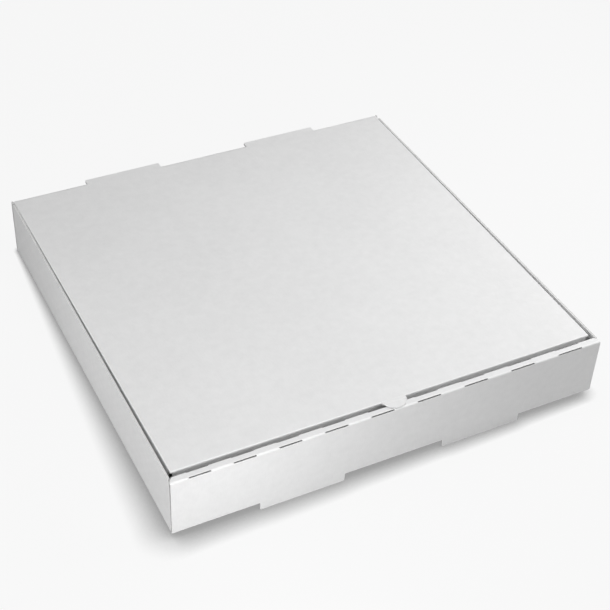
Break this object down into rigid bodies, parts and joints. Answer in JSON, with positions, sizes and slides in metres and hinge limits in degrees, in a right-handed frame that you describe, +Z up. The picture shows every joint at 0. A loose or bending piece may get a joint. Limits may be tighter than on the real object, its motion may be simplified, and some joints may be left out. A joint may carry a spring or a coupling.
{
  "type": "pizza box",
  "caption": "Low square takeaway box folded from one sheet of white corrugated board, with a tucked hinged lid, a thumb tab and a roll-over front wall with slots.",
  "frame": {"origin": "centre of the footprint, hinge tabs included, on the surface that the two front feet stand on", "axes": "+X to the right and +Y to the hinge at the back as seen from the front, +Z up"},
  "size_m": [0.356, 0.3616, 0.0584],
  "materials": {
    "white_board": "matt bleached liner on corrugated board"
  },
  "bodies": {
    "tray": {"tray": "white_board"},
    "lid": {"lid": "white_board"}
  },
  "joints": [
    {"name": "lid_hinge", "type": "hinge", "parent": "tray", "child": "lid", "pos_m": [0, 0.17515, 0.05566], "axis": [-1, 0, 0], "range_deg": [0, 180]}
  ]
}
